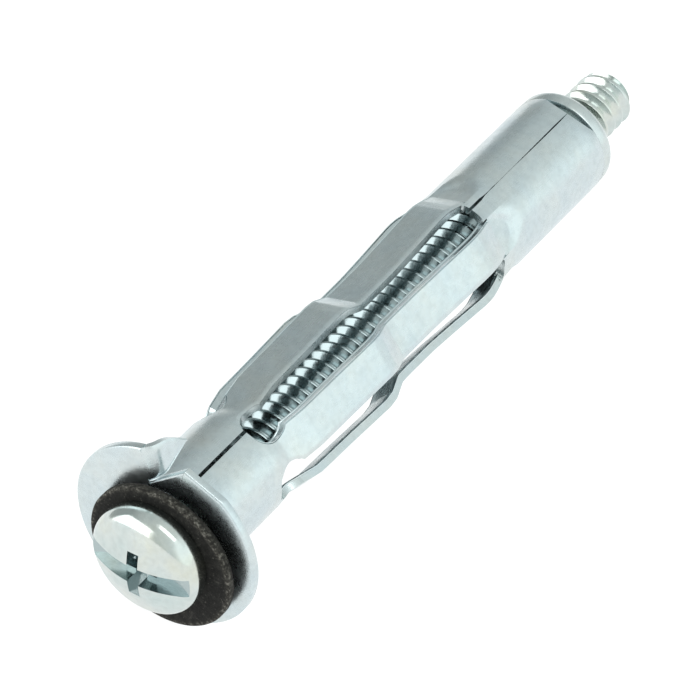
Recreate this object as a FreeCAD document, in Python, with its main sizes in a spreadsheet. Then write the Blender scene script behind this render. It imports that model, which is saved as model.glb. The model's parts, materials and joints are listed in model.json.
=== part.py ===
"""Hollow-wall anchor: a slotted sheet-metal sleeve with a nut crimped in its end, a screw and a washer.

Frame, in millimetres: +Y runs along the sleeve's axis from the screw's head to its tip, +Z is up, and
the origin is on that axis in the plane of the flange's rear face, which lies against the wall.

The sleeve is one piece of sheet that bends at the ends and in the middle of its legs. It is divided
there, so that each length between two bends is a solid of its own.
"""
import FreeCAD, Part
import math
import os
import Sketcher

Vector = FreeCAD.Vector
Rotation = FreeCAD.Rotation
Placement = FreeCAD.Placement

LEG_ANGLES = (34, 106, 178, 250, 322)
HALF_STEP = 180 / len(LEG_ANGLES)

SIZES = {
    # the sleeve's sheet, front barrel and flange
    "sheet_gauge": 0.5,
    "barrel_radius": 3.08,
    "flange_radius": 5.57,
    "flange_bend_radius": 0.45,
    "seam_angle": 75,
    "seam_gap": 0.2,
    "seam_clear": 1.0,
    # the bends, and the round holes that weaken the sleeve at the front one
    "front_fold": 6.8,
    "rear_fold": 27.2,
    "fold_gap": 0.04,
    "keyhole_radius": 1.15,
    # the legs: a reach is the distance from the axis to a leg's outer face
    "leg_width": 2.4,
    "fold_reach": 2.85,
    "root_length": 2.2,
    "root_reach": 3.3,
    "front_hump": 15.3,
    "front_hump_reach": 3.5,
    "waist_reach": 3.0,
    "rear_hump": 25.3,
    "rear_hump_reach": 3.33,
    # the neck and the rear barrel
    "neck": 28.2,
    "neck_reach": 2.77,
    "shoulder": 29.4,
    "sleeve_end": 37.4,
    "window_width": 3.4,
    "window_depth": 0.45,
    "window_clear": 2.0,
    # the spurs, cut from the flange and bent back
    "spur_fold_angle": 29,
    "spur_relief_angle": 20,
    "notch_clear": 8.5,
    "spur_bend": 66,
    "spur_overlap": 0.25,
    "spur_tip_reach": 5.06,
    "spur_edge_radius": 4.5,
    "chord_angle": 26,
    # the nut
    "nut_length": 3.6,
    "nut_rim_length": 1.1,
    "nut_rim_radius": 3.05,
    "nut_rim_rounding": 0.35,
    "nut_fit_gap": 0.02,
    "nut_running_gap": 0.15,
    # the washer, which hangs on the screw against its head, a little off centre and clear of the flange
    "washer_radius": 4.36,
    "washer_hole_radius": 2.35,
    "washer_gauge": 0.5,
    "washer_gap": 0.5,
    "washer_shift_x": 0.38,
    "washer_shift_z": -0.54,
    # the screw, number 6-32 by 1 3/4 in, which leans in the nut so that its head is off centre
    "thread_radius": 1.7,
    "thread_pitch": 0.794,
    "thread_depth": 0.45,
    "groove_width": 0.66,
    "groove_floor": 0.1,
    "thread_runout": 1.0,
    "thread_lift": 0.1,
    "shank_length": 44.45,
    "tip_chamfer": 0.35,
    "head_radius": 3.25,
    "head_height": 2.2,
    "head_side": 0.9,
    "head_foot_radius": 3.1,
    "head_foot_length": 0.35,
    "head_gap": 0.03,
    "head_shift_x": 0.27,
    "head_shift_z": -0.09,
    "crown_reach": 2.5,
    "crown_drop": 0.5,
    "shoulder_radius": 1.0,
    "slot_width": 1.15,
    "slot_depth": 0.85,
    "wing_width": 0.68,
    "wing_reach": 1.6,
    "wing_floor_reach": 0.5,
    "recess_depth": 1.5,
}

doc = FreeCAD.newDocument("HollowWallAnchor")


class Size:
    """A number together with the formula that gives it from the sheet's cells."""

    def __init__(self, value, formula):
        self.value = value
        self.formula = formula

    def __add__(self, other):
        other = as_size(other)
        return Size(self.value + other.value, "(%s + %s)" % (self.formula, other.formula))

    def __sub__(self, other):
        other = as_size(other)
        return Size(self.value - other.value, "(%s - %s)" % (self.formula, other.formula))

    def __mul__(self, factor):
        factor = as_size(factor)
        return Size(self.value * factor.value, "(%s * %s)" % (self.formula, factor.formula))

    def __truediv__(self, divisor):
        divisor = as_size(divisor)
        return Size(self.value / divisor.value, "(%s / %s)" % (self.formula, divisor.formula))

    def __neg__(self):
        return Size(-self.value, "(0 - %s)" % self.formula)


def as_size(number):
    if isinstance(number, Size):
        return number
    return Size(number, "%s" % number)


def size(alias):
    return Size(SIZES[alias], "Sizes.%s" % alias)


def cosine(angle):
    return Size(math.cos(math.radians(angle.value)), "cos(%s * 1 deg)" % angle.formula)


def sine(angle):
    return Size(math.sin(math.radians(angle.value)), "sin(%s * 1 deg)" % angle.formula)


def fill_sheet():
    """Put every driving dimension in the sheet, with its name as the cell's alias."""
    sheet = doc.addObject("Spreadsheet::Sheet", "Sizes")
    for row, (alias, value) in enumerate(SIZES.items(), start=1):
        sheet.set("A%d" % row, alias)
        sheet.set("B%d" % row, str(value))
        sheet.setAlias("B%d" % row, alias)
    doc.recompute()


def new_body(label):
    body = doc.addObject("PartDesign::Body", label)
    body.Label = label
    return body


def turn_about_axis(body, angle):
    """Turn a body about the anchor's axis, from +X towards +Z."""
    body.Placement = Placement(Vector(0, 0, 0), Rotation(Vector(0, 1, 0), -angle))


def origin_item(body, role):
    """The body's own origin plane or axis with this role."""
    return next(item for item in body.Origin.OriginFeatures if item.Role == role)


def new_sketch(body, name, plane="XY_Plane", turned=None):
    sketch = body.newObject("Sketcher::SketchObject", name)
    sketch.AttachmentSupport = [(origin_item(body, plane), "")]
    sketch.MapMode = "FlatFace"
    if turned is not None:
        sketch.AttachmentOffset = Placement(Vector(0, 0, 0), turned)
    return sketch


def bind(sketch, kind, ends, length):
    """Hold one dimension of a sketch to its formula."""
    place = sketch.addConstraint(Sketcher.Constraint(kind, *ends, length.value))
    sketch.setExpression("Constraints[%d]" % place, length.formula)


def arc_between(start, end, radius, side):
    """The short arc from start to end, bulging to the right of the way (side 1) or the left (-1)."""
    chord = end - start
    rise = radius - math.sqrt(radius * radius - chord.Length * chord.Length / 4)
    right = Vector(chord.y, -chord.x, 0).normalize()
    return Part.Arc(start, (start + end) * 0.5 + right * rise * side, end)


def outline(sketch, corners, arcs=None):
    """Draw a closed outline through corners of two sizes each, counter-clockwise.

    arcs maps the number of each side that is round to its radius, and to 1 if it bulges outward.
    """
    arcs = arcs or {}
    points = [Vector(as_size(across).value, as_size(along).value, 0) for across, along in corners]
    vertices = []
    for index, start in enumerate(points):
        end = points[(index + 1) % len(points)]
        if index in arcs:
            radius, side = arcs[index]
            sketch.addGeometry(arc_between(start, end, radius.value, side), False)
        else:
            sketch.addGeometry(Part.LineSegment(start, end), False)
        drawn = sketch.Geometry[index]
        forward = drawn.StartPoint.distanceToPoint(start) < drawn.EndPoint.distanceToPoint(start)
        vertices.append((1, 2) if forward else (2, 1))
    for index in range(len(points)):
        following = (index + 1) % len(points)
        joined = (index, vertices[index][1], following, vertices[following][0])
        sketch.addConstraint(Sketcher.Constraint("Coincident", *joined))
    for index, (across, along) in enumerate(corners):
        bind(sketch, "DistanceX", (-1, 1, index, vertices[index][0]), as_size(across))
        bind(sketch, "DistanceY", (-1, 1, index, vertices[index][0]), as_size(along))
    for index, (radius, side) in arcs.items():
        bind(sketch, "Radius", (index,), radius)


def circle(sketch, across, along, radius):
    """Draw a circle."""
    centre = Vector(as_size(across).value, as_size(along).value, 0)
    index = sketch.addGeometry(Part.Circle(centre, Vector(0, 0, 1), radius.value), False)
    bind(sketch, "DistanceX", (-1, 1, index, 3), as_size(across))
    bind(sketch, "DistanceY", (-1, 1, index, 3), as_size(along))
    bind(sketch, "Radius", (index,), radius)


def revolve(body, name, sketch):
    """Turn a profile of radius and place along the axis through a full circle."""
    feature = body.newObject("PartDesign::Revolution", name)
    feature.Profile = sketch
    feature.ReferenceAxis = (origin_item(body, "Y_Axis"), [""])
    feature.Angle = 360
    doc.recompute()


def pad(body, name, sketch, length, side_type="One side"):
    feature = body.newObject("PartDesign::Pad", name)
    feature.Profile = sketch
    feature.SideType = side_type
    feature.setExpression("Length", length.formula)
    doc.recompute()


def cut(body, name, sketch, length=None, side_type="Symmetric"):
    """Pocket a sketch, through everything unless a length is given. It has to take something away."""
    before = body.Shape.Volume
    feature = body.newObject("PartDesign::Pocket", name)
    feature.Profile = sketch
    feature.SideType = side_type
    if length is None:
        feature.Type = "ThroughAll"
    else:
        feature.setExpression("Length", length.formula)
    feature.Reversed = side_type == "One side"
    doc.recompute()
    if body.Shape.Volume >= before:
        raise RuntimeError("%s cuts nothing" % name)


def front_collar():
    """The flange and the front barrel, with its open seam along local +X."""
    body = new_body("front_collar")
    gauge = size("sheet_gauge")
    barrel = size("barrel_radius")
    bend = size("flange_bend_radius")
    rear = size("front_fold") - size("fold_gap") / 2
    profile = new_sketch(body, "CollarProfile")
    outline(profile, [
        (barrel - gauge + bend, -gauge),
        (size("flange_radius"), -gauge),
        (size("flange_radius"), 0),
        (barrel, 0),
        (barrel, rear),
        (barrel - gauge, rear),
        (barrel - gauge, bend - gauge),
    ], {6: (bend, 1)})
    revolve(body, "Collar", profile)

    for number, angle in enumerate(LEG_ANGLES, start=1):
        from_seam = angle + HALF_STEP - SIZES["seam_angle"]
        turned = Rotation(Vector(1, 0, 0), -from_seam)
        hole = new_sketch(body, "KeyholeSketch%d" % number, "YZ_Plane", turned)
        circle(hole, size("front_fold"), 0, size("keyhole_radius"))
        cut(body, "Keyhole%d" % number, hole, size("flange_radius") * 2, "One side")

    seam = new_sketch(body, "SeamSketch", "YZ_Plane")
    half_gap = size("seam_gap") / 2
    outline(seam, [
        (-size("seam_clear"), -half_gap),
        (size("front_fold"), -half_gap),
        (size("front_fold"), half_gap),
        (-size("seam_clear"), half_gap),
    ])
    cut(body, "Seam", seam, size("flange_radius") * 2, "One side")
    for number, turn in (("First", 0), ("Second", 180)):
        spur(body, number, turn)
    turn_about_axis(body, SIZES["seam_angle"])


def spur(body, number, turn):
    """Cut one triangular spur out of the flange and stand it on its fold line, leaning to the rear.

    The notch starts a little way round the barrel from the fold line, so that the spur's thickness
    stays over the notch.
    """
    barrel = size("barrel_radius")
    rim = size("flange_radius")
    fold = size("spur_fold_angle")
    chord = size("chord_angle")
    tip = size("spur_tip_reach")
    relief = size("spur_relief_angle")
    clear = size("notch_clear")
    turned = Rotation(Vector(0, 0, 1), turn)
    notch = new_sketch(body, number + "NotchSketch", "XZ_Plane", turned)
    outline(notch, [
        (barrel * cosine(fold), barrel * sine(fold)),
        (barrel * cosine(relief), barrel * sine(relief)),
        (tip, 0),
        (rim * cosine(chord), -rim * sine(chord)),
        (clear * cosine(chord), -clear * sine(chord)),
        (clear, 0),
        (clear * cosine(fold), clear * sine(fold)),
    ])
    cut(body, number + "Notch", notch)

    leaning = turned * Rotation(Vector(0, 0, 1), SIZES["spur_fold_angle"])
    leaning = leaning * Rotation(Vector(1, 0, 0), SIZES["spur_bend"])
    blade = new_sketch(body, number + "SpurSketch", "XZ_Plane", leaning)
    overlap = size("spur_overlap")
    outline(blade, [
        (barrel, overlap),
        (barrel, 0),
        (tip * cosine(fold), -tip * sine(fold)),
        (rim, 0),
        (rim, overlap),
    ], {2: (size("spur_edge_radius"), 1)})
    pad(body, number + "Spur", blade, size("sheet_gauge"))


def strip(sketch, stations):
    """Outline a bent strip of sheet from its outer face: a station is (reach, place along the axis)."""
    gauge = size("sheet_gauge")
    outer = list(stations)
    inner = [(reach - gauge, along) for reach, along in reversed(stations)]
    outline(sketch, outer + inner)


def leg_front(number, angle):
    """A leg from the front bend to the middle one. Its root is narrowed by the keyholes beside it."""
    body = new_body("leg_%d_front" % number)
    half_gap = size("fold_gap") / 2
    profile = new_sketch(body, "FrontLegProfile%d" % number)
    strip(profile, [
        (size("fold_reach"), size("front_fold") + half_gap),
        (size("root_reach"), size("front_fold") + size("root_length")),
        (size("front_hump_reach"), size("front_hump")),
        (size("waist_reach"), middle_fold() - half_gap),
    ])
    pad(body, "FrontLeg%d" % number, profile, size("leg_width"), "Symmetric")
    for side, step in (("Left", HALF_STEP), ("Right", -HALF_STEP)):
        turned = Rotation(Vector(1, 0, 0), -step)
        hole = new_sketch(body, "%sKeyholeSketch%d" % (side, number), "YZ_Plane", turned)
        circle(hole, size("front_fold"), 0, size("keyhole_radius"))
        cut(body, "%sKeyhole%d" % (side, number), hole, size("flange_radius") * 2, "One side")
    turn_about_axis(body, angle)


def leg_rear(number, angle):
    """A leg from the middle bend to the rear one."""
    body = new_body("leg_%d_rear" % number)
    half_gap = size("fold_gap") / 2
    profile = new_sketch(body, "RearLegProfile%d" % number)
    strip(profile, [
        (size("waist_reach"), middle_fold() + half_gap),
        (size("rear_hump_reach"), size("rear_hump")),
        (size("fold_reach"), size("rear_fold") - half_gap),
    ])
    pad(body, "RearLeg%d" % number, profile, size("leg_width"), "Symmetric")
    turn_about_axis(body, angle)


def middle_fold():
    """The middle bend is halfway, so that the two halves of a leg fold flat on each other."""
    return (size("front_fold") + size("rear_fold")) / 2


def rear_barrel():
    """The neck and the rear barrel, with a crescent window in its end on the seam, along local +X."""
    body = new_body("rear_barrel")
    profile = new_sketch(body, "RearBarrelProfile")
    strip(profile, [
        (size("fold_reach"), size("rear_fold") + size("fold_gap") / 2),
        (size("neck_reach"), size("neck")),
        (size("barrel_radius"), size("shoulder")),
        (size("barrel_radius"), size("sleeve_end")),
    ])
    revolve(body, "RearBarrel", profile)
    window = new_sketch(body, "WindowSketch", "YZ_Plane")
    half_width = size("window_width") / 2
    end = size("sleeve_end")
    beyond = end + size("window_clear")
    outline(window, [
        (end, half_width),
        (end - size("window_depth"), 0),
        (end, -half_width),
        (beyond, -half_width),
        (beyond, half_width),
    ])
    cut(body, "Window", window, size("barrel_radius") * 2, "One side")
    turn_about_axis(body, SIZES["seam_angle"])


def nut():
    """The round nut: its body is inside the rear barrel, and its rounded rim closes the barrel's end."""
    body = new_body("nut")
    bore = size("thread_radius") + size("nut_running_gap")
    shell = size("barrel_radius") - size("sheet_gauge") - size("nut_fit_gap")
    rim = size("nut_rim_radius")
    rounding = size("nut_rim_rounding")
    front = size("sleeve_end") - size("nut_length")
    seat = size("sleeve_end")
    rear = seat + size("nut_rim_length")
    profile = new_sketch(body, "NutProfile")
    outline(profile, [
        (bore, front),
        (shell, front),
        (shell, seat),
        (rim, seat),
        (rim, rear - rounding),
        (rim - rounding, rear),
        (bore, rear),
    ], {4: (rounding, 1)})
    revolve(body, "Nut", profile)


def washer():
    body = new_body("fibre_washer")
    rear = -(size("sheet_gauge") + size("washer_gap"))
    front = rear - size("washer_gauge")
    profile = new_sketch(body, "WasherProfile")
    outline(profile, [
        (size("washer_hole_radius"), front),
        (size("washer_radius"), front),
        (size("washer_radius"), rear),
        (size("washer_hole_radius"), rear),
    ])
    revolve(body, "Washer", profile)
    body.setExpression("Placement.Base.x", "Sizes.washer_shift_x")
    body.setExpression("Placement.Base.z", "Sizes.washer_shift_z")


def screw():
    """The machine screw: a turned blank, a right-hand thread cut in it, and the driver recess."""
    body = new_body("screw")
    shank = size("thread_radius")
    under_head = -(size("sheet_gauge") + size("washer_gap") + size("washer_gauge") + size("head_gap"))
    tip = under_head + size("shank_length")
    top = under_head - size("head_height")
    chamfer = size("tip_chamfer")
    crown_reach = size("crown_reach")
    drop = size("crown_drop")
    crown_radius = (crown_reach * crown_reach + drop * drop) / (drop * 2)
    blank = new_sketch(body, "BlankProfile")
    outline(blank, [
        (0, top),
        (crown_reach, top + drop),
        (size("head_radius"), under_head - size("head_side")),
        (size("head_radius"), under_head - size("head_foot_length")),
        (size("head_foot_radius"), under_head),
        (shank, under_head),
        (shank, tip - chamfer),
        (shank - chamfer, tip),
        (0, tip),
    ], {0: (crown_radius, 1), 1: (size("shoulder_radius"), 1)})
    revolve(body, "Blank", blank)
    cut_thread(body, tip)
    cut_recess(body, top)
    lean(body, top.value)


def lean(body, top):
    """Lean the screw about the middle of the nut, until the top of its head is off the axis."""
    nut_middle = Vector(0, SIZES["sleeve_end"] + (SIZES["nut_rim_length"] - SIZES["nut_length"]) / 2, 0)
    head_middle = Vector(SIZES["head_shift_x"], top, SIZES["head_shift_z"])
    leaning = Rotation(Vector(0, 1, 0), nut_middle - head_middle)
    body.Placement = Placement(Vector(0, 0, 0), leaning, nut_middle)


def cut_thread(body, tip):
    """Cut one V groove along a helix, from past the tip to the runout under the head."""
    crest = size("thread_radius")
    root = crest - size("thread_depth")
    lift = size("thread_lift")
    half_width = size("groove_width") / 2
    half_floor = size("groove_floor") / 2
    start = tip + size("thread_pitch")
    groove = new_sketch(body, "GrooveProfile")
    outline(groove, [
        (root, start - half_floor),
        (crest + lift, start - half_width),
        (crest + lift, start + half_width),
        (root, start + half_floor),
    ])
    before = body.Shape.Volume
    thread = body.newObject("PartDesign::SubtractiveHelix", "Thread")
    thread.Profile = groove
    thread.ReferenceAxis = (origin_item(body, "Y_Axis"), [""])
    thread.Mode = 0
    thread.Reversed = True
    thread.setExpression("Pitch", "Sizes.thread_pitch")
    length = size("shank_length") + size("thread_pitch") - size("thread_runout")
    thread.setExpression("Height", length.formula)
    doc.recompute()
    if body.Shape.Volume >= before:
        raise RuntimeError("the thread cuts nothing")


def cut_recess(body, top):
    """The combination recess: a slot right across the head, and a narrower, deeper, tapered cross."""
    across = size("head_radius") * 2
    above = top - size("head_height")
    slot_floor = top + size("slot_depth")
    slot = new_sketch(body, "SlotSketch", "XY_Plane")
    outline(slot, [
        (-across, above),
        (across, above),
        (across, slot_floor),
        (-across, slot_floor),
    ])
    cut(body, "Slot", slot, size("slot_width"))
    reach = size("wing_reach")
    floor_reach = size("wing_floor_reach")
    floor = top + size("recess_depth")
    wing = [
        (-reach, above),
        (reach, above),
        (reach, top),
        (floor_reach, floor),
        (-floor_reach, floor),
        (-reach, top),
    ]
    level = new_sketch(body, "LevelWingSketch", "XY_Plane")
    outline(level, wing)
    cut(body, "LevelWing", level, size("wing_width"))
    upright = new_sketch(body, "UprightWingSketch", "YZ_Plane")
    outline(upright, [(along, out) for out, along in wing])
    cut(body, "UprightWing", upright, size("wing_width"))


def check_and_export():
    """Stop on any failed object or unsound solid, then write each sub-part to its own file."""
    for item in doc.Objects:
        if "Invalid" in item.State or "Error" in item.State:
            raise RuntimeError("%s failed: %s" % (item.Label, item.State))
    bodies = [item for item in doc.Objects if item.TypeId == "PartDesign::Body"]
    for body in bodies:
        shape = body.Shape
        if shape.isNull() or not shape.isValid() or len(shape.Solids) != 1:
            raise RuntimeError("%s is not one sound solid" % body.Label)
    os.makedirs("parts", exist_ok=True)
    for body in bodies:
        body.Shape.exportStep("parts/%s.step" % body.Label)
        print("%-16s %9.3f mm3" % (body.Label, body.Shape.Volume))


def main():
    fill_sheet()
    front_collar()
    for number, angle in enumerate(LEG_ANGLES, start=1):
        leg_front(number, angle)
        leg_rear(number, angle)
    rear_barrel()
    nut()
    washer()
    screw()
    doc.recompute()
    check_and_export()


main()
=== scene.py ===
import json
import math
import random

import bmesh
import bpy
from mathutils import Matrix, Vector


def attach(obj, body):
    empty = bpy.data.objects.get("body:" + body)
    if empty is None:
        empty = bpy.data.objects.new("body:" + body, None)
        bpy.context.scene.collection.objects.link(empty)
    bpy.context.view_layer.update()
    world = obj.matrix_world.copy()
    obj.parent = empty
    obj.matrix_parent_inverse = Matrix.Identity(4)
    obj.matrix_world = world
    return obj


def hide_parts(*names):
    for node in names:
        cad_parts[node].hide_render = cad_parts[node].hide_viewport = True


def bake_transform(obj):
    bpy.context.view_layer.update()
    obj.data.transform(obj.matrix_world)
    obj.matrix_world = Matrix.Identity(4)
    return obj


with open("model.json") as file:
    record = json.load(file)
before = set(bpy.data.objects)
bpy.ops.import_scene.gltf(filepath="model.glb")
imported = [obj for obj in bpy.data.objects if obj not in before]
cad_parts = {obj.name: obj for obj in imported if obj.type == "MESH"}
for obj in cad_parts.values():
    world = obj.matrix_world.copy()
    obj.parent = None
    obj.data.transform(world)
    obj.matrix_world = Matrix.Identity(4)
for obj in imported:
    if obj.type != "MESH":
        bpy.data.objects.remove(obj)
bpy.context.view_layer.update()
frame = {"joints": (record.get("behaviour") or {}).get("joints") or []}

MM = 0.001
LEG_ANGLES = (34, 106, 178, 250, 322)
GAUGE = 0.5
BARREL = 3.08
FLANGE = 5.57
SEAM_ANGLE = 75
SLEEVE_END = 37.4
KEYHOLE = 1.15
FRONT_FOLD = 6.8
REAR_FOLD = 27.2
HALF_LEG = 1.2
SHOULDER = 29.4
RING_END = FRONT_FOLD - KEYHOLE
HALF_STEP = 36
FIFTH = BARREL * math.pi / 5
EDGE = 0.07
WASHER_CENTRE = (0.38, -0.54)
WASHER_RADIUS = 4.36
WASHER_HOLE = 2.35
WASHER_FRONT, WASHER_REAR = -1.5, -1.0
NUT_FRONT = 33.8
NUT_RIM = 3.05
NUT_RIM_LENGTH = 1.1
UNDER_HEAD = -1.53
HEAD_TOP = -3.73
HEAD_RADIUS = 3.25
HEAD_SHIFT = (0.27, -0.09)
HEAD_SIDE = 0.85
CROWN_REACH = 2.45
CROWN_DROP = 0.52
CROWN = (CROWN_REACH ** 2 + CROWN_DROP ** 2) / (2 * CROWN_DROP)
SLOT_HALF, SLOT_DEPTH = 0.575, 0.85
WING_HALF, WING_REACH, WING_FLOOR_REACH = 0.34, 1.58, 0.5
RECESS_DEPTH = 1.5
THREAD_RADIUS = 1.7
THREAD_PITCH = 0.794
SCREW_TIP = UNDER_HEAD + 44.45

JOINTS = {joint["name"]: joint for joint in frame["joints"]}


# ---------------------------------------------------------------- small helpers

def ease(value):
    """Smooth step from 0 to 1."""
    value = min(1.0, max(0.0, value))
    return value * value * (3 - 2 * value)


def between(value, low, high):
    """How far a value is from low to high, as a share."""
    return (value - low) / (high - low)


def through(points, value):
    """Straight-line interpolation through (place, height) points."""
    for (x0, y0), (x1, y1) in zip(points, points[1:]):
        if value <= x1:
            return y0 + (y1 - y0) * max(0.0, between(value, x0, x1))
    return points[-1][1]


def polar(angle, radius, along):
    """A point round the sleeve's axis, its angle in degrees from +X towards +Z."""
    turn = math.radians(angle)
    return Vector((radius * math.cos(turn), along, radius * math.sin(turn)))


def facing(angle, out, side, along):
    """A point at a distance out from the axis towards an angle, and at a distance to the side of that."""
    way = math.radians(angle)
    return Vector((out * math.cos(way) - side * math.sin(way), along,
                   out * math.sin(way) + side * math.cos(way)))


def steps(low, high, size):
    """Even steps from low to high, no longer than size."""
    count = max(1, math.ceil((high - low) / size))
    return [low + (high - low) * k / count for k in range(count + 1)]


def skin(mesh, rings, closed=False):
    """Join rings of points into a solid skin. The ends are capped unless the rings close up."""
    rows = [[mesh.verts.new(point * MM) for point in ring] for ring in rings]
    following = rows[1:] + rows[:1] if closed else rows[1:]
    for row, other in zip(rows, following):
        for k in range(len(row)):
            after = (k + 1) % len(row)
            mesh.faces.new((row[k], row[after], other[after], other[k]))
    if not closed:
        mesh.faces.new(rows[0])
        mesh.faces.new(list(reversed(rows[-1])))


def turned(mesh, profile, centre=(0.0, 0.0), columns=128):
    """Turn a closed profile of (radius, along) points about a line parallel to the axis."""
    rings = []
    for k in range(columns):
        ring = [polar(360 * k / columns, radius, along) for radius, along in profile]
        rings.append([point + Vector((centre[0], 0, centre[1])) for point in ring])
    skin(mesh, rings, closed=True)


def finished(name, mesh, material, nodes, crease=32):
    """Make an object of a mesh, clean, smooth-shaded and standing for its CAD nodes."""
    bmesh.ops.remove_doubles(mesh, verts=mesh.verts, dist=1e-7)
    bmesh.ops.dissolve_degenerate(mesh, edges=mesh.edges, dist=1e-8)
    bmesh.ops.recalc_face_normals(mesh, faces=mesh.faces)
    data = bpy.data.meshes.new(name)
    mesh.to_mesh(data)
    mesh.free()
    data.shade_smooth()
    data.set_sharp_from_angle(angle=math.radians(crease))
    data.materials.append(material)
    piece = bpy.data.objects.new(name, data)
    bpy.context.scene.collection.objects.link(piece)
    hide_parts(*nodes)
    return piece


def corner(across, depth, start, radius=EDGE, parts=3):
    """Points of a rounded corner, centred on (across, depth), a quarter turn on from start degrees."""
    points = []
    for k in range(parts + 1):
        turn = math.radians(start + 90 * k / parts)
        points.append((across + radius * math.cos(turn), depth - radius * math.sin(turn)))
    return points


def strip_section(half_width, columns=18):
    """The closed outline of a strip of sheet across its width, as (across, depth) points."""
    inner = half_width - EDGE
    face = [-inner + 2 * inner * k / columns for k in range(1, columns)]
    outline = [(across, 0.0) for across in face]
    outline += corner(inner, EDGE, 90)[::-1]
    outline += corner(inner, GAUGE - EDGE, 0)[::-1]
    outline += [(across, GAUGE) for across in reversed(face)]
    outline += corner(-inner, GAUGE - EDGE, 270)[::-1]
    outline += corner(-inner, EDGE, 180)[::-1]
    return outline


# ---------------------------------------------------------------- materials

class Nodes:
    """Short calls for building one material's nodes."""

    def __init__(self, name):
        self.material = bpy.data.materials.new(name)
        self.material.use_nodes = True
        self.tree = self.material.node_tree
        self.shader = self.tree.nodes["Principled BSDF"]
        self.place = self.tree.nodes.new("ShaderNodeTexCoord").outputs["Object"]

    def set(self, **values):
        for socket, value in values.items():
            self.shader.inputs[socket.replace("_", " ")].default_value = value

    def link(self, output, socket):
        self.tree.links.new(output, self.shader.inputs[socket])

    def stretched(self, scale):
        node = self.tree.nodes.new("ShaderNodeMapping")
        node.inputs["Scale"].default_value = scale
        self.tree.links.new(self.place, node.inputs["Vector"])
        return node.outputs["Vector"]

    # each of these adds a node and returns its output

    def noise(self, scale, detail=3.0, roughness=0.55, vector=None):
        node = self.tree.nodes.new("ShaderNodeTexNoise")
        node.inputs["Scale"].default_value = scale
        node.inputs["Detail"].default_value = detail
        node.inputs["Roughness"].default_value = roughness
        self.tree.links.new(vector or self.place, node.inputs["Vector"])
        return node.outputs["Fac"]

    def ramp(self, factor, stops):
        """Colours at places along a factor."""
        node = self.tree.nodes.new("ShaderNodeValToRGB")
        while len(node.color_ramp.elements) < len(stops):
            node.color_ramp.elements.new(1.0)
        for element, (place, colour) in zip(node.color_ramp.elements, stops):
            element.position = place
            element.color = (*colour, 1.0)
        self.tree.links.new(factor, node.inputs["Fac"])
        return node.outputs["Color"]

    def spread(self, factor, low, high, start=0.3, end=0.7):
        """A factor's middle range spread over low to high."""
        node = self.tree.nodes.new("ShaderNodeMapRange")
        node.inputs["From Min"].default_value = start
        node.inputs["From Max"].default_value = end
        node.inputs["To Min"].default_value = low
        node.inputs["To Max"].default_value = high
        self.tree.links.new(factor, node.inputs["Value"])
        return node.outputs["Result"]

    def mixed(self, factor, first, second, blend="MIX"):
        node = self.tree.nodes.new("ShaderNodeMix")
        node.data_type = "RGBA"
        node.blend_type = blend
        for socket, value in (("Factor", factor), ("A", first), ("B", second)):
            wanted = [item for item in node.inputs if item.name == socket and item.enabled][0]
            if isinstance(value, bpy.types.NodeSocket):
                self.tree.links.new(value, wanted)
            else:
                wanted.default_value = value
        return [item for item in node.outputs if item.enabled][0]

    def sums(self, first, second, weight):
        """first plus weight times second."""
        node = self.tree.nodes.new("ShaderNodeMath")
        node.operation = "MULTIPLY_ADD"
        self.tree.links.new(second, node.inputs[0])
        node.inputs[1].default_value = weight
        self.tree.links.new(first, node.inputs[2])
        return node.outputs["Value"]

    def combined(self, operation, first, second):
        node = self.tree.nodes.new("ShaderNodeMath")
        node.operation = operation
        self.tree.links.new(first, node.inputs[0])
        self.tree.links.new(second, node.inputs[1])
        return node.outputs["Value"]

    def attribute(self, name):
        """A number kept on the mesh."""
        node = self.tree.nodes.new("ShaderNodeAttribute")
        node.attribute_name = name
        return node.outputs["Fac"]

    def along(self):
        """The place along the piece's own Y axis."""
        node = self.tree.nodes.new("ShaderNodeSeparateXYZ")
        self.tree.links.new(self.place, node.inputs["Vector"])
        return node.outputs["Y"]

    def bump(self, height, distance, strength=1.0):
        node = self.tree.nodes.new("ShaderNodeBump")
        node.inputs["Strength"].default_value = strength
        node.inputs["Distance"].default_value = distance
        self.tree.links.new(height, node.inputs["Height"])
        self.link(node.outputs["Normal"], "Normal")


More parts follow.
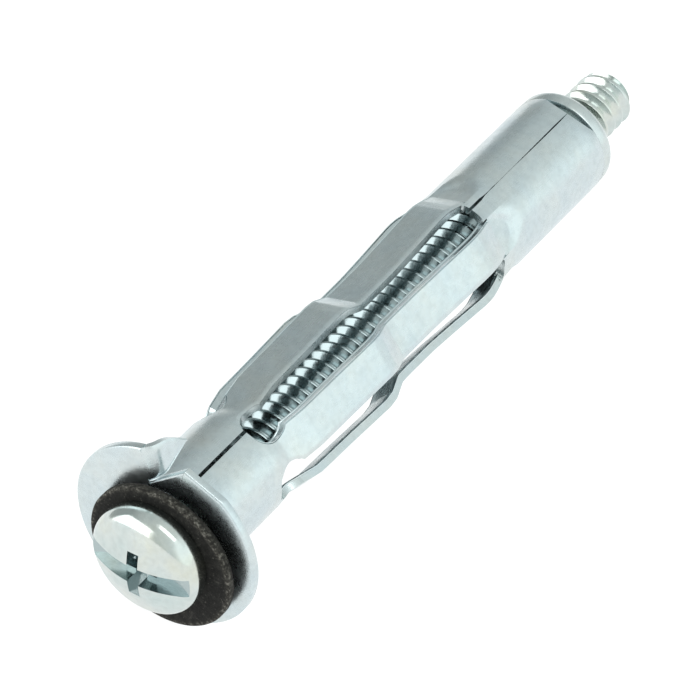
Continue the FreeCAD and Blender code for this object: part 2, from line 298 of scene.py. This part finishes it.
def zinc(name, bright, cool, warm, smooth, rough, scratch, shade_tint=None):
    """Bright zinc plating: cool metal with warm clouds, uneven gloss, fine drawn streaks and scratches.

    The optional last colour is a darker, bluer tint painted on a screw's plating as shade, inside the
    sleeve and in the head's recess.
    """
    nodes = Nodes(name)
    nodes.set(Metallic=1.0)
    clouds = nodes.noise(420, 4.0)
    tint = nodes.ramp(clouds, [(0.3, cool), (0.52, bright), (0.74, warm)])
    mottle = nodes.noise(2600, 3.0)
    shade = nodes.spread(mottle, 0.90, 1.0, 0.25, 0.6)
    colour = nodes.mixed(1.0, tint, shade, "MULTIPLY")
    if shade_tint:
        # painted shade: the screw's colour darkens to the last colour along the part inside the sleeve, and
        # in the head's recess
        front = nodes.spread(nodes.along(), 0.0, 1.0, 2 * MM, 5 * MM)
        rear = nodes.spread(nodes.along(), 1.0, 0.0, 36 * MM, 38.5 * MM)
        inside = nodes.combined("MULTIPLY", front, rear)
        shade_mask = nodes.combined("MAXIMUM", inside, nodes.attribute("recess_shade"))
        colour = nodes.mixed(shade_mask, colour, (*shade_tint, 1.0))
    nodes.link(colour, "Base Color")
    streaks = nodes.noise(1.0, 3.0, 0.6, nodes.stretched((5200, 420, 5200)))
    gloss = nodes.sums(nodes.noise(900, 3.0), streaks, 0.6)
    nodes.link(nodes.spread(gloss, smooth, rough, 0.55, 1.05), "Roughness")
    grain = nodes.noise(9000, 2.0)
    marks = nodes.noise(1.0, 2.0, 0.5, nodes.stretched((700, 9000, 700)))
    height = nodes.sums(nodes.sums(grain, streaks, 0.9), marks, 0.5)
    nodes.bump(height, scratch)
    return nodes.material


def fibre():
    """Pressed dark fibre with pale flecks, its front outer edge worn to a lighter grey."""
    nodes = Nodes("washer_fibre")
    nodes.set(Metallic=0.0)
    body = nodes.ramp(nodes.noise(2300, 4.0, 0.65), [
        (0.30, (0.005, 0.0048, 0.0042)),
        (0.52, (0.010, 0.0095, 0.0084)),
        (0.72, (0.024, 0.023, 0.020)),
    ])
    flecks = nodes.ramp(nodes.noise(9000, 2.0, 0.7), [(0.62, (0, 0, 0)), (0.78, (0.12, 0.115, 0.10))])
    colour = nodes.mixed(1.0, body, flecks, "ADD")
    worn = nodes.ramp(nodes.noise(5200, 4.0, 0.75), [
        (0.40, (0.014, 0.013, 0.011)),
        (0.53, (0.048, 0.045, 0.038)),
        (0.72, (0.240, 0.228, 0.200)),
    ])
    nodes.link(nodes.mixed(nodes.attribute("wear"), colour, worn), "Base Color")
    nodes.set(Roughness=0.78, Specular_IOR_Level=0.2)
    nodes.bump(nodes.noise(6500, 4.0, 0.7), 0.00007)
    return nodes.material


sleeve_zinc = zinc("sleeve_zinc", (0.60, 0.665, 0.675), (0.565, 0.645, 0.675), (0.63, 0.67, 0.655),
                   0.21, 0.35, 0.0000035)
nut_zinc = zinc("nut_zinc", (0.60, 0.655, 0.65), (0.57, 0.63, 0.64), (0.63, 0.66, 0.61),
                0.20, 0.34, 0.0000030)
# the screw's last colour is painted shade for its plating inside the sleeve and in the head's recess
screw_zinc = zinc("screw_zinc", (0.60, 0.645, 0.625), (0.53, 0.61, 0.60), (0.64, 0.66, 0.58),
                  0.10, 0.22, 0.0000020, shade_tint=(0.36, 0.43, 0.44))
washer_fibre = fibre()


# ---------------------------------------------------------------- the front collar

FLARE = 0.25
BEND = FLARE + GAUGE
SEAM_HAIR = 0.004
SPUR_FOLD = 29
SPUR_ROOT = 3.41
SPUR_TIP = 5.33
CHORD_ANGLE = 26
SPUR_BEND = 84
SPUR_BEND_LENGTH = 0.9
SPUR_BULGE = 0.42


def rim_reach(angle):
    """How far the flange reaches at an angle from the spur's middle, inside the notch or out of it."""
    if -CHORD_ANGLE <= angle <= SPUR_FOLD:
        root = Vector((SPUR_ROOT * math.cos(math.radians(SPUR_FOLD)),
                       SPUR_ROOT * math.sin(math.radians(SPUR_FOLD))))
        tip = Vector((SPUR_TIP, 0.0))
        rim = Vector((FLANGE * math.cos(math.radians(CHORD_ANGLE)),
                      -FLANGE * math.sin(math.radians(CHORD_ANGLE))))
        start, end = (tip, root) if angle >= 0 else (rim, tip)
        way = Vector((math.cos(math.radians(angle)), math.sin(math.radians(angle))))
        edge = end - start
        return (start.x * edge.y - start.y * edge.x) / (way.x * edge.y - way.y * edge.x)
    return FLANGE


def collar_profile(reach, rear):
    """The collar's outline at one angle, as (radius, along) points: round the rim, then round the bend."""
    lip = 0.11
    points = [(reach - lip * 1.4, -GAUGE)]
    for k in range(1, 4):
        turn = math.radians(90 * k / 4)
        points.append((reach - lip * 1.4 * (1 - math.sin(turn)), -GAUGE + lip * (1 - math.cos(turn))))
    points += [(reach, -GAUGE + lip), (reach, -EDGE)]
    points += [(reach - EDGE * 0.3, -EDGE * 0.3), (reach - EDGE, 0.0)]
    for k in range(7):
        turn = math.radians(90 * k / 6)
        points.append((BARREL + FLARE * (1 - math.sin(turn)), FLARE * (1 - math.cos(turn))))
    points += [(BARREL, along) for along in steps(FLARE, rear, 0.5)[1:]]
    points += [(BARREL - GAUGE, along) for along in reversed(steps(BEND - GAUGE, rear, 0.5))]
    for k in range(1, 9):
        turn = math.radians(90 * k / 8)
        points.append((BARREL + FLARE - BEND * math.cos(turn), BEND * (1 - math.sin(turn)) - GAUGE))
    return points


def collar_point(angle, radius, along):
    """A point of the collar. The seam stands open along the barrel and closes in the flange."""
    beside = min(angle, 360 - angle)
    opening = math.degrees(0.1 / BARREL) * ease(between(along, -0.1, 0.5)) * max(0.0, 1 - beside / 4)
    return polar(SEAM_ANGLE + angle + (opening if angle < 180 else -opening), radius, along)


def collar_rings():
    """The collar's angles from the seam and its reach at each, with both sides of every notch's corners."""
    half_seam = math.degrees(SEAM_HAIR / BARREL)
    marks = []
    for middle in (0, 180):
        marks += [(middle + SPUR_FOLD, FLANGE), (middle + SPUR_FOLD, SPUR_ROOT)]
        marks.append(((middle - CHORD_ANGLE) % 360, FLANGE))
    rings = []
    for angle in steps(half_seam, 360 - half_seam, 1.5):
        if all(abs(angle - place) >= 0.8 for place, _ in marks):
            rings.append((angle, rim_reach((angle + 90) % 180 - 90)))
    for place, reach in marks:
        order = 1e-6 if reach == FLANGE and place in (SPUR_FOLD, 180 + SPUR_FOLD) else 0.0
        rings.append((place + order, reach))
    return sorted(rings)


def collar():
    """The flange, its rounded bend and the front barrel up to the keyholes."""
    mesh = bmesh.new()
    skin(mesh, [[collar_point(angle, *point) for point in collar_profile(reach, RING_END)]
                for angle, reach in collar_rings()])
    return finished("collar", mesh, sleeve_zinc, ["front_collar"])


def spur_ring(out, tip_along, tip_out):
    """The spur's outline at a distance from its fold line, as (along the fold, over, to the rear)."""
    share = out / tip_out
    low = SPUR_ROOT + (tip_along - SPUR_ROOT) * share
    high = FLANGE + (tip_along - FLANGE) * share + SPUR_BULGE * math.sin(math.pi * share) ** 0.8
    bend = math.radians(SPUR_BEND)
    turn = bend * min(1.0, out / SPUR_BEND_LENGTH)
    radius = SPUR_BEND_LENGTH / bend
    straight = max(0.0, out - SPUR_BEND_LENGTH)
    over = radius * math.sin(turn) + straight * math.cos(turn)
    rear = radius * (1 - math.cos(turn)) + straight * math.sin(turn) - GAUGE / 2
    centre, half = (low + high) / 2, (high - low) / 2
    ring = []
    for across, depth in strip_section(max(half, EDGE * 1.5), 10):
        lift = GAUGE / 2 - depth
        ring.append(Vector((centre + across, over - lift * math.sin(turn), rear + lift * math.cos(turn))))
    return ring


def spur_point(point, middle):
    """A point of the spur, from the frame of its fold line to its place on the flange."""
    fold = math.radians(SPUR_FOLD)
    out = point.x * math.cos(fold) + point.y * math.sin(fold)
    side = point.x * math.sin(fold) - point.y * math.cos(fold)
    return facing(SEAM_ANGLE + middle, out, side, point.z)


def spur(number, middle):
    """The triangular spur, bent to the rear along its fold line."""
    mesh = bmesh.new()
    fold = math.radians(SPUR_FOLD)
    tip_along, tip_out = SPUR_TIP * math.cos(fold), SPUR_TIP * math.sin(fold)
    bent = steps(0.0, SPUR_BEND_LENGTH, 0.07)
    straight = steps(SPUR_BEND_LENGTH, tip_out - 0.05, 0.15)[1:]
    rings = [spur_ring(out, tip_along, tip_out) for out in bent + straight]
    skin(mesh, [[spur_point(point, middle) for point in ring] for ring in rings])
    return finished("spur_%d" % number, mesh, sleeve_zinc, ["front_collar"])


# ---------------------------------------------------------------- the legs

OUTER_PATH = [
    (RING_END, 2.92), (FRONT_FOLD, 2.86), (9.0, 3.32), (12.0, 3.39), (14.0, 3.46), (15.3, 3.50),
    (16.0, 3.42), (17.0, 3.02), (17.6, 3.0), (20.0, 3.02), (22.0, 3.13), (24.0, 3.26), (25.0, 3.33),
    (25.7, 3.29), (26.4, 3.14), (REAR_FOLD, 2.90),
]

BLADE_START = 9.0
BLADE_STEPS = [
    (BLADE_START, 14.8, 0.5), (14.8, 16.3, 0.07), (16.3, 17.9, 0.05), (17.9, 25.2, 0.5),
    (25.2, 26.6, 0.07), (26.6, REAR_FOLD, 0.1),
]


def leg_reach(along):
    """Distance from the axis to a leg's outer face, with its bends a little rounded."""
    spread = 0.1
    samples = [through(OUTER_PATH, along + spread * k / 2) for k in (-2, -1, 0, 1, 2)]
    return (samples[0] + 2 * samples[1] + 3 * samples[2] + 2 * samples[3] + samples[4]) / 9


def leg_half_width(along):
    """Half of a leg's width: a fifth of the barrel at first, cut away by the round keyholes."""
    reach = KEYHOLE ** 2 - (along - FRONT_FOLD) ** 2
    if reach > 0:
        hole = FIFTH - math.sqrt(reach)
        if along < FRONT_FOLD or hole < HALF_LEG:
            return hole
    return HALF_LEG if along > FRONT_FOLD else FIFTH


def leg_point(angle, across, depth, along):
    """A point of a leg. The leg starts as a fifth of the barrel and flattens past the keyholes."""
    flat = ease(between(along, RING_END + 0.1, FRONT_FOLD + 0.55))
    turn = across / BARREL
    out = (1 - flat) * (BARREL - depth) * math.cos(turn) + flat * (leg_reach(along) - depth)
    side = (1 - flat) * (BARREL - depth) * math.sin(turn) + flat * across
    return facing(angle, out, side, along)


def leg_length(name, angle, places, nodes):
    """One length of a leg, made of its outline at each place along the axis."""
    mesh = bmesh.new()
    rings = []
    for along in places:
        section = strip_section(leg_half_width(along))
        rings.append([leg_point(angle, across, depth, along) for across, depth in section])
    skin(mesh, rings)
    return finished(name, mesh, sleeve_zinc, nodes)


def leg(number, angle):
    """A leg in two pieces: its root bends with the collar, and its blade bends in the middle."""
    front, rear = "leg_%d_front" % number, "leg_%d_rear" % number
    last = math.degrees(math.acos(-math.sqrt(1 - ((FIFTH - HALF_LEG) / KEYHOLE) ** 2)))
    keyhole = [FRONT_FOLD - KEYHOLE * math.cos(math.radians(turn)) for turn in steps(0, last, 6)]
    places = keyhole + steps(keyhole[-1], BLADE_START, 0.2)[1:]
    root = leg_length("leg_%d_root" % number, angle, places, [front])
    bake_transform(root)
    places = [BLADE_START]
    for start, end, size in BLADE_STEPS:
        places += steps(start, end, size)[1:]
    blade = leg_length("leg_%d_blade" % number, angle, places, [front, rear])
    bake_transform(blade)


# ---------------------------------------------------------------- the neck and the rear barrel

LEG_EDGE = math.degrees(math.atan2(HALF_LEG, leg_reach(REAR_FOLD)))
NECK_END = SHOULDER + 0.3
WINDOW_HALF = 1.75
WINDOW_DEPTH = 0.45


def crease_place(offset):
    """Where the flat facet behind a leg ends: in a curve that bulges to the rear."""
    share = min(1.0, abs(offset) / LEG_EDGE)
    return REAR_FOLD + 0.1 + 1.2 * (1 - share * share)


def neck_reach(offset, along):
    """The outer radius of the neck at an angle from the nearest leg's middle."""
    near = min(abs(offset), LEG_EDGE)
    crease = crease_place(offset)
    flat = (2.90 - 0.1 * (min(along, crease) - REAR_FOLD)) / math.cos(math.radians(near))
    if abs(offset) > LEG_EDGE:
        far = between(abs(offset), LEG_EDGE, HALF_STEP)
        flat += (BARREL - 0.02 - flat) * ease(far)
    if along <= crease:
        return flat
    rise = ease(between(along, crease, SHOULDER)) ** 0.8
    return flat + (BARREL - flat) * rise


def neck_front(offset):
    """Where the neck begins: at the bend behind each leg, and round the end of each slot."""
    if abs(offset) <= LEG_EDGE:
        return REAR_FOLD
    share = between(abs(offset), LEG_EDGE, HALF_STEP)
    return 27.05 - 0.3 * (1 - math.sqrt(max(0.0, 1 - (1 - share) ** 2)))


def seam_half(along):
    """Half of the seam's gap in the rear barrel: open in front, then closed, then open a hair."""
    return through([(26.0, 0.1), (28.0, 0.09), (28.4, 0.03), (28.9, 0.012), (29.3, 0.03), (29.7, 0.008),
                    (31.6, 0.008), (32.6, 0.03), (35.6, 0.045), (37.0, 0.02), (38.0, 0.02)], along)


def sleeve_rear(angle):
    """The sleeve's end, with a crescent window on the seam."""
    aside = abs(math.radians((angle - SEAM_ANGLE + 180) % 360 - 180)) * BARREL
    return SLEEVE_END - WINDOW_DEPTH * max(0.0, 1 - (aside / WINDOW_HALF) ** 2)


def barrel_ring(angle, offset, front, side):
    """The outline of the rear barrel at one angle, moved aside by the seam's gap if it ends there."""
    rear = sleeve_rear(angle)
    places = [front + (NECK_END - front) * k / 40 for k in range(41)]
    places += [NECK_END + (rear - EDGE - NECK_END) * k / 12 for k in range(1, 13)]

    def at(radius, along):
        gap = math.degrees(side * seam_half(along) / BARREL)
        return polar(angle + gap, radius, along)

    outer = [at(neck_reach(offset, along), along) for along in places]
    outer.append(at(BARREL - EDGE * 0.3, rear - EDGE * 0.3))
    outer.append(at(BARREL - EDGE, rear))
    inner = [at(BARREL - GAUGE, rear)]
    inner += [at(neck_reach(offset, along) - GAUGE, along) for along in reversed(places)]
    return outer + inner


def from_leg(angle):
    """The angle from the middle of the nearest leg."""
    step = 2 * HALF_STEP
    return (angle - LEG_ANGLES[0] + HALF_STEP) % step - HALF_STEP


def barrel_angles():
    """Angles once round from the seam, with both sides of every leg's edge among them."""
    angles = steps(SEAM_ANGLE, SEAM_ANGLE + 360, 1.5)
    for leg_angle in LEG_ANGLES:
        for edge_angle in (leg_angle - LEG_EDGE, leg_angle + LEG_EDGE):
            place = SEAM_ANGLE + (edge_angle - SEAM_ANGLE) % 360
            angles = [angle for angle in angles if abs(angle - place) > 0.5]
            angles += [place - 1e-4, place + 1e-4]
    return sorted(angles)


def rear_barrel():
    """The neck, with a flat facet behind each leg, and the round rear barrel."""
    mesh = bmesh.new()
    angles = barrel_angles()
    rings = []
    for angle in angles:
        offset = from_leg(angle)
        side = 1 if angle == angles[0] else -1 if angle == angles[-1] else 0
        rings.append(barrel_ring(angle, offset, neck_front(offset), side))
    skin(mesh, rings)
    for angle in LEG_ANGLES:
        knuckle(mesh, angle)
    return finished("rear_barrel", mesh, sleeve_zinc, ["rear_barrel"])


def knuckle(mesh, angle):
    """The inside of a leg's rear bend, hidden in the sheet until the leg folds."""
    radius = GAUGE - 0.012
    pivot_out = leg_reach(REAR_FOLD) - 0.01
    half = HALF_LEG - EDGE
    points = [(pivot_out, REAR_FOLD)]
    for k in range(9):
        turn = math.radians(84 * k / 8)
        points.append((pivot_out - radius * math.cos(turn), REAR_FOLD - radius * math.sin(turn)))
    skin(mesh, [[facing(angle, out, across, along) for out, along in points] for across in (-half, half)])


def nut():
    """The round nut: a body inside the barrel and a generously rounded rim behind the barrel's end."""
    mesh = bmesh.new()
    shell = BARREL - GAUGE - 0.02
    rear = SLEEVE_END + NUT_RIM_LENGTH
    round_off, chamfer = 0.62, 0.28
    bore = THREAD_RADIUS + 0.13
    profile = [(bore, NUT_FRONT), (shell - 0.2, NUT_FRONT), (shell, NUT_FRONT + 0.2), (shell, SLEEVE_END)]
    profile += [(NUT_RIM - 0.1, SLEEVE_END), (NUT_RIM - 0.03, SLEEVE_END + 0.03)]
    profile.append((NUT_RIM, SLEEVE_END + 0.1))
    for k in range(11):
        turn = math.radians(90 * k / 10)
        inward, forward = 1 - math.cos(turn), 1 - math.sin(turn)
        profile.append((NUT_RIM - round_off * inward, rear - round_off * forward))
    profile += [(bore + chamfer, rear), (bore, rear - chamfer)]
    turned(mesh, profile)
    return finished("nut", mesh, nut_zinc, ["nut"])


# ---------------------------------------------------------------- the washer

def washer_profile():
    """The washer's outline as (radius, along), with its front outer edge rounded."""
    front, rear = WASHER_FRONT, WASHER_REAR
    rim, hole = WASHER_RADIUS, WASHER_HOLE
    round_off = 0.1
    profile = [(radius, front) for radius in steps(hole + 0.06, rim - round_off, 0.16)]
    for k in range(1, 7):
        turn = math.radians(90 * k / 6)
        profile.append((rim - round_off * (1 - math.sin(turn)), front + round_off * (1 - math.cos(turn))))
    profile += [(rim, front + 0.2), (rim, front + 0.35), (rim, rear - 0.05)]
    profile += [(rim - 0.05, rear), (hole + 0.03, rear), (hole, rear - 0.03)]
    profile += [(hole, front + 0.06), (hole + 0.02, front + 0.02)]
    return profile


def from_washer(point):
    """A mesh point's place across the washer, from the middle, in millimetres."""
    return Vector((point.x / MM - WASHER_CENTRE[0], point.z / MM - WASHER_CENTRE[1]))


def uneven_rim(mesh):
    """Draw the washer's rim in a little here and there."""
    draws = random.Random(7)
    waves = [(draws.randint(2, 9), draws.uniform(0, 2 * math.pi)) for _ in range(5)]
    for vertex in mesh.verts:
        out = from_washer(vertex.co)
        if out.length > WASHER_RADIUS - 0.2:
            turn = math.atan2(out.y, out.x)
            lift = sum(math.sin(count * turn + phase) for count, phase in waves)
            shrink = 1 - 0.0012 * abs(lift)
            vertex.co.x = (WASHER_CENTRE[0] + out.x * shrink) * MM
            vertex.co.z = (WASHER_CENTRE[1] + out.y * shrink) * MM


def mark_wear(piece):
    """Mark how worn each point is: the front outer edge most, fading towards the rear."""
    wear = piece.data.attributes.new("wear", "FLOAT", "POINT")
    for index, vertex in enumerate(piece.data.vertices):
        out = from_washer(vertex.co).length
        height = vertex.co.y / MM - WASHER_FRONT
        near_edge = ease(between(out, WASHER_RADIUS - 0.3, WASHER_RADIUS - 0.12))
        wear.data[index].value = near_edge * (1 - 0.8 * ease(between(height, 0.1, 0.45)))


def washer():
    """The washer, its rim slightly uneven and worn along the front outer edge."""
    mesh = bmesh.new()
    turned(mesh, washer_profile(), WASHER_CENTRE, 160)
    uneven_rim(mesh)
    piece = finished("fibre_washer", mesh, washer_fibre, ["fibre_washer"])
    mark_wear(piece)
    return piece


# ---------------------------------------------------------------- the screw

def screw_place():
    """The screw's own frame: its axis as the joint states it, at the pivot in the nut."""
    joint = JOINTS["screw_turn"]
    axis = -Vector(joint["axis"])
    pivot = Vector(joint["pos_m"])
    lean = Vector((0, 1, 0)).rotation_difference(axis).to_matrix().to_4x4()
    return Matrix.Translation(pivot) @ lean @ Matrix.Translation(-pivot)


def thread_profile():
    """One pitch of the thread as (along, radius): crest, flank, root and flank, a little rounded."""
    crest, depth = THREAD_RADIUS, 0.46
    half_crest, half_root = 0.065, 0.055
    mid = THREAD_PITCH / 2
    top, top_edge = crest - 0.002, crest - 0.02
    floor, floor_edge = crest - depth + 0.002, crest - depth + 0.035
    return [
        (-half_crest - 0.02, top_edge), (-half_crest * 0.5, top),
        (half_crest * 0.5, top), (half_crest + 0.02, top_edge),
        (mid - half_root - 0.03, floor_edge), (mid - half_root * 0.5, floor),
        (mid + half_root * 0.5, floor), (mid + half_root + 0.03, floor_edge),
    ]


def thread():
    """A right-hand thread, as one strip wound round the axis. It runs past the screw at both ends."""
    mesh = bmesh.new()
    columns = 56
    profile = thread_profile()
    first, last = UNDER_HEAD - 2 * THREAD_PITCH, SCREW_TIP + 2 * THREAD_PITCH
    rows = round((last - first) / THREAD_PITCH * columns)
    verts = []
    for k in range(rows + 1):
        angle = 90 - 360 * k / columns
        along = first + THREAD_PITCH * k / columns
        points = [polar(angle, radius, along + shift) for shift, radius in profile]
        verts.append([mesh.verts.new(point * MM) for point in points])
    for k in range(rows):
        row, after = verts[k], verts[k + 1]
        for j in range(len(profile) - 1):
            mesh.faces.new((row[j], row[j + 1], after[j + 1], after[j]))
        if k + columns < rows:
            mesh.faces.new((row[-1], verts[k + columns][0], verts[k + columns + 1][0], after[-1]))
    close_ends(mesh, first * MM, last * MM)
    bmesh.ops.recalc_face_normals(mesh, faces=mesh.faces)
    return mesh


def close_ends(mesh, first, last):
    """Close the thread's two open ends with fans of faces from a point on the axis."""
    low, high = mesh.verts.new((0, first, 0)), mesh.verts.new((0, last, 0))
    middle = (first + last) / 2
    for edge in [edge for edge in mesh.edges if len(edge.link_faces) == 1]:
        centre = low if edge.verts[0].co.y < middle else high
        mesh.faces.new((edge.verts[0], edge.verts[1], centre))


def cut_with(piece, other, operation):
    """Apply a boolean of another object to a piece and remove the other."""
    modifier = piece.modifiers.new("cut", "BOOLEAN")
    modifier.operation = operation
    modifier.solver = "EXACT"
    modifier.object = other
    graph = bpy.context.evaluated_depsgraph_get()
    result = bpy.data.meshes.new_from_object(piece.evaluated_get(graph))
    piece.modifiers.clear()
    old = piece.data
    piece.data = result
    bpy.data.meshes.remove(old)
    bpy.data.objects.remove(other)


def loose(name, mesh):
    """An object that isn't a piece yet."""
    data = bpy.data.meshes.new(name)
    bmesh.ops.recalc_face_normals(mesh, faces=mesh.faces)
    mesh.to_mesh(data)
    mesh.free()
    item = bpy.data.objects.new(name, data)
    bpy.context.scene.collection.objects.link(item)
    return item


def settled(item, name, material, nodes, body, place):
    """Turn a loose object into a finished piece, put in place on its body."""
    mesh = bmesh.new()
    mesh.from_mesh(item.data)
    bpy.data.objects.remove(item)
    mesh.transform(place)
    piece = finished(name, mesh, material, nodes)
    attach(piece, body)
    return piece


def shank(place):
    """The threaded shank: the thread cut to the screw's length, with a chamfered tip."""
    chamfer = 0.42
    beyond = THREAD_RADIUS + 0.05
    profile = [
        (0.0001, UNDER_HEAD - 0.5),
        (beyond, UNDER_HEAD - 0.5),
        (beyond, SCREW_TIP - chamfer - 0.05),
        (THREAD_RADIUS - 0.12, SCREW_TIP - 0.22),
        (THREAD_RADIUS - chamfer + 0.05, SCREW_TIP - 0.04),
        (THREAD_RADIUS - chamfer - 0.15, SCREW_TIP),
        (0.0001, SCREW_TIP),
    ]
    blank = bmesh.new()
    turned(blank, profile, columns=96)
    bmesh.ops.remove_doubles(blank, verts=blank.verts, dist=1e-6)
    item = loose("thread", thread())
    cut_with(item, loose("blank", blank), "INTERSECT")
    return settled(item, "screw_shank", screw_zinc, ["screw"], "screw", place)


def crown_surface(radius):
    """The place along the axis of the crown's surface, a part of a ball of radius CROWN."""
    return HEAD_TOP + CROWN - math.sqrt(CROWN ** 2 - radius ** 2)


def head_profile():
    """The pan head from the middle of its crown to the foot under its rim, as (radius, along)."""
    points = [(0.0001, HEAD_TOP)]
    points += [(radius, crown_surface(radius)) for radius in steps(0.0, CROWN_REACH, 0.08)[1:]]
    start = Vector(points[-1])
    end = Vector((HEAD_RADIUS, UNDER_HEAD - HEAD_SIDE))
    slope = CROWN_REACH / math.sqrt(CROWN ** 2 - CROWN_REACH ** 2)
    handle = Vector((HEAD_RADIUS - 0.06, start.y + slope * (HEAD_RADIUS - 0.25 - CROWN_REACH)))
    for k in range(1, 17):
        share = k / 16
        point = start * (1 - share) ** 2 + handle * 2 * share * (1 - share) + end * share ** 2
        points.append((point.x, point.y))
    points += [(HEAD_RADIUS, UNDER_HEAD - 0.4), (HEAD_RADIUS - 0.03, UNDER_HEAD - 0.25),
               (HEAD_RADIUS - 0.12, UNDER_HEAD), (0.0001, UNDER_HEAD)]
    return points


def prism(corners, half_width, flip):
    """A block from an outline of (across, along) corners, wide along Z, or along X if flipped."""
    mesh = bmesh.new()
    rings = []
    for side in (-half_width, half_width):
        ring = []
        for across, along in corners:
            ring.append(Vector((side, along, across)) if flip else Vector((across, along, side)))
        rings.append(ring)
    skin(mesh, rings)
    return mesh


def head(place):
    """The head, with the slot and the two tapered wings of the cross cut out of it."""
    solid = bmesh.new()
    turned(solid, head_profile(), columns=144)
    bmesh.ops.remove_doubles(solid, verts=solid.verts, dist=1e-6)
    item = loose("head", solid)
    above, beyond = HEAD_TOP - 1, 4
    slot_floor, recess_floor = HEAD_TOP + SLOT_DEPTH, HEAD_TOP + RECESS_DEPTH
    slot = [(-beyond, above), (beyond, above), (beyond, slot_floor), (-beyond, slot_floor)]
    cut_with(item, loose("slot", prism(slot, SLOT_HALF, False)), "DIFFERENCE")
    wing = [(-1.95, above), (1.95, above), (WING_REACH, HEAD_TOP), (WING_FLOOR_REACH, recess_floor),
            (-WING_FLOOR_REACH, recess_floor), (-WING_REACH, HEAD_TOP)]
    for flip in (False, True):
        cut_with(item, loose("wing", prism(wing, WING_HALF, flip)), "DIFFERENCE")
    piece = settled(item, "screw_head", screw_zinc, ["screw"], "screw", place)
    # mark the faces in the recess for the painted shade on the plating
    mark_recess_shade(piece)


def mark_recess_shade(piece):
    """Mark the faces that lie below the crown's surface, where the plating's colour is darkened as painted
    shade in the recess.
    """
    mark = piece.data.attributes.new("recess_shade", "FLOAT", "FACE")
    for index, face in enumerate(piece.data.polygons):
        out = math.hypot(face.center.x / MM - HEAD_SHIFT[0], face.center.z / MM - HEAD_SHIFT[1])
        under_crown = crown_surface(out) + 0.08 < face.center.y / MM < UNDER_HEAD - 0.4
        mark.data[index].value = 0.85 if under_crown and out < HEAD_RADIUS - 0.4 else 0.0


# ---------------------------------------------------------------- light, floor and camera

# brightness of the surroundings, as (place from -X at 0 to +X at 1, level)
WORLD_LEVELS = [
    (0.15, 0.33), (0.30, 0.50), (0.48, 0.52), (0.60, 0.60), (0.70, 0.60), (0.80, 0.72), (0.90, 0.95),
]


def area_light(name, place, size, power, target=(0, 0.018, 0)):
    """A softbox facing the middle of the anchor."""
    light = bpy.data.lights.new(name, "AREA")
    light.shape = "RECTANGLE"
    light.size, light.size_y = size
    light.energy = power
    item = bpy.data.objects.new(name, light)
    item.location = place
    item.rotation_mode = "QUATERNION"
    item.rotation_quaternion = (Vector(target) - Vector(place)).to_track_quat("-Z", "Y")
    bpy.context.scene.collection.objects.link(item)


def pale_floor():
    """A pale, slightly shining floor under the flange's edge."""
    grid = bmesh.new()
    bmesh.ops.create_grid(grid, x_segments=1, y_segments=1, size=2.0)
    floor_mesh = bpy.data.meshes.new("floor")
    grid.to_mesh(floor_mesh)
    grid.free()
    floor = bpy.data.objects.new("floor", floor_mesh)
    floor.location = (0, 0, -FLANGE * MM - 0.0003)
    bpy.context.scene.collection.objects.link(floor)
    nodes = Nodes("floor_white")
    nodes.set(Base_Color=(0.35, 0.35, 0.35, 1.0), Roughness=0.9, Specular_IOR_Level=0.0)
    nodes.set(Emission_Color=(1.0, 1.0, 1.0, 1.0), Emission_Strength=0.80)
    floor.data.materials.append(nodes.material)


def surroundings():
    """Soft light from all round: dimmer on the left, from -X, and brighter on the right."""
    world = bpy.data.worlds.new("studio")
    world.use_nodes = True
    tree = world.node_tree
    background = tree.nodes["Background"]
    place = tree.nodes.new("ShaderNodeTexCoord")
    split = tree.nodes.new("ShaderNodeSeparateXYZ")
    tree.links.new(place.outputs["Generated"], split.inputs["Vector"])
    shift = tree.nodes.new("ShaderNodeMapRange")
    shift.inputs["From Min"].default_value = -1.0
    tree.links.new(split.outputs["X"], shift.inputs["Value"])
    ramp = tree.nodes.new("ShaderNodeValToRGB")
    tree.links.new(shift.outputs["Result"], ramp.inputs["Fac"])
    stops = ramp.color_ramp.elements
    while len(stops) < len(WORLD_LEVELS):
        stops.new(1.0)
    for stop, (position, level) in zip(stops, WORLD_LEVELS):
        stop.position = position
        stop.color = (level * 0.93, level, level * 0.99, 1)
    tree.links.new(ramp.outputs["Color"], background.inputs["Color"])
    background.inputs["Strength"].default_value = 1.45
    bpy.context.scene.world = world


def studio():
    """The floor, the surroundings and two softboxes."""
    pale_floor()
    surroundings()
    area_light("front_left", (-0.22, -0.25, 0.15), (0.42, 0.30), 0.70)
    area_light("top_right", (0.16, 0.02, 0.36), (0.16, 0.24), 0.22)
    bpy.context.scene.view_settings.view_transform = "Standard"


def camera():
    """The camera, at the photograph's angle and distance."""
    azimuth, elevation = math.radians(33.97), math.radians(41.9)
    back = Vector((math.sin(azimuth) * math.cos(elevation), -math.cos(azimuth) * math.cos(elevation),
                   math.sin(elevation)))
    data = bpy.data.cameras.new("camera")
    data.sensor_width = 36.0
    data.lens = 249.43
    data.clip_start, data.clip_end = 0.01, 10.0
    item = bpy.data.objects.new("camera", data)
    item.location = Vector((107.62, -143.21, 172.94)) * MM
    right = Vector((math.cos(azimuth), math.sin(azimuth), 0))
    up = back.cross(right)
    item.matrix_world = Matrix.Translation(item.location) @ Matrix((right, up, back)).transposed().to_4x4()
    bpy.context.scene.collection.objects.link(item)
    bpy.context.scene.camera = item


# ---------------------------------------------------------------- the build

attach(collar(), "collar")
for number, middle in ((1, 0), (2, 180)):
    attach(spur(number, middle), "collar")
for number, angle in enumerate(LEG_ANGLES, start=1):
    leg(number, angle)
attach(rear_barrel(), "rear_end")
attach(nut(), "rear_end")
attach(washer(), "washer")
placed = screw_place()
shank(placed)
head(placed)
studio()
camera()
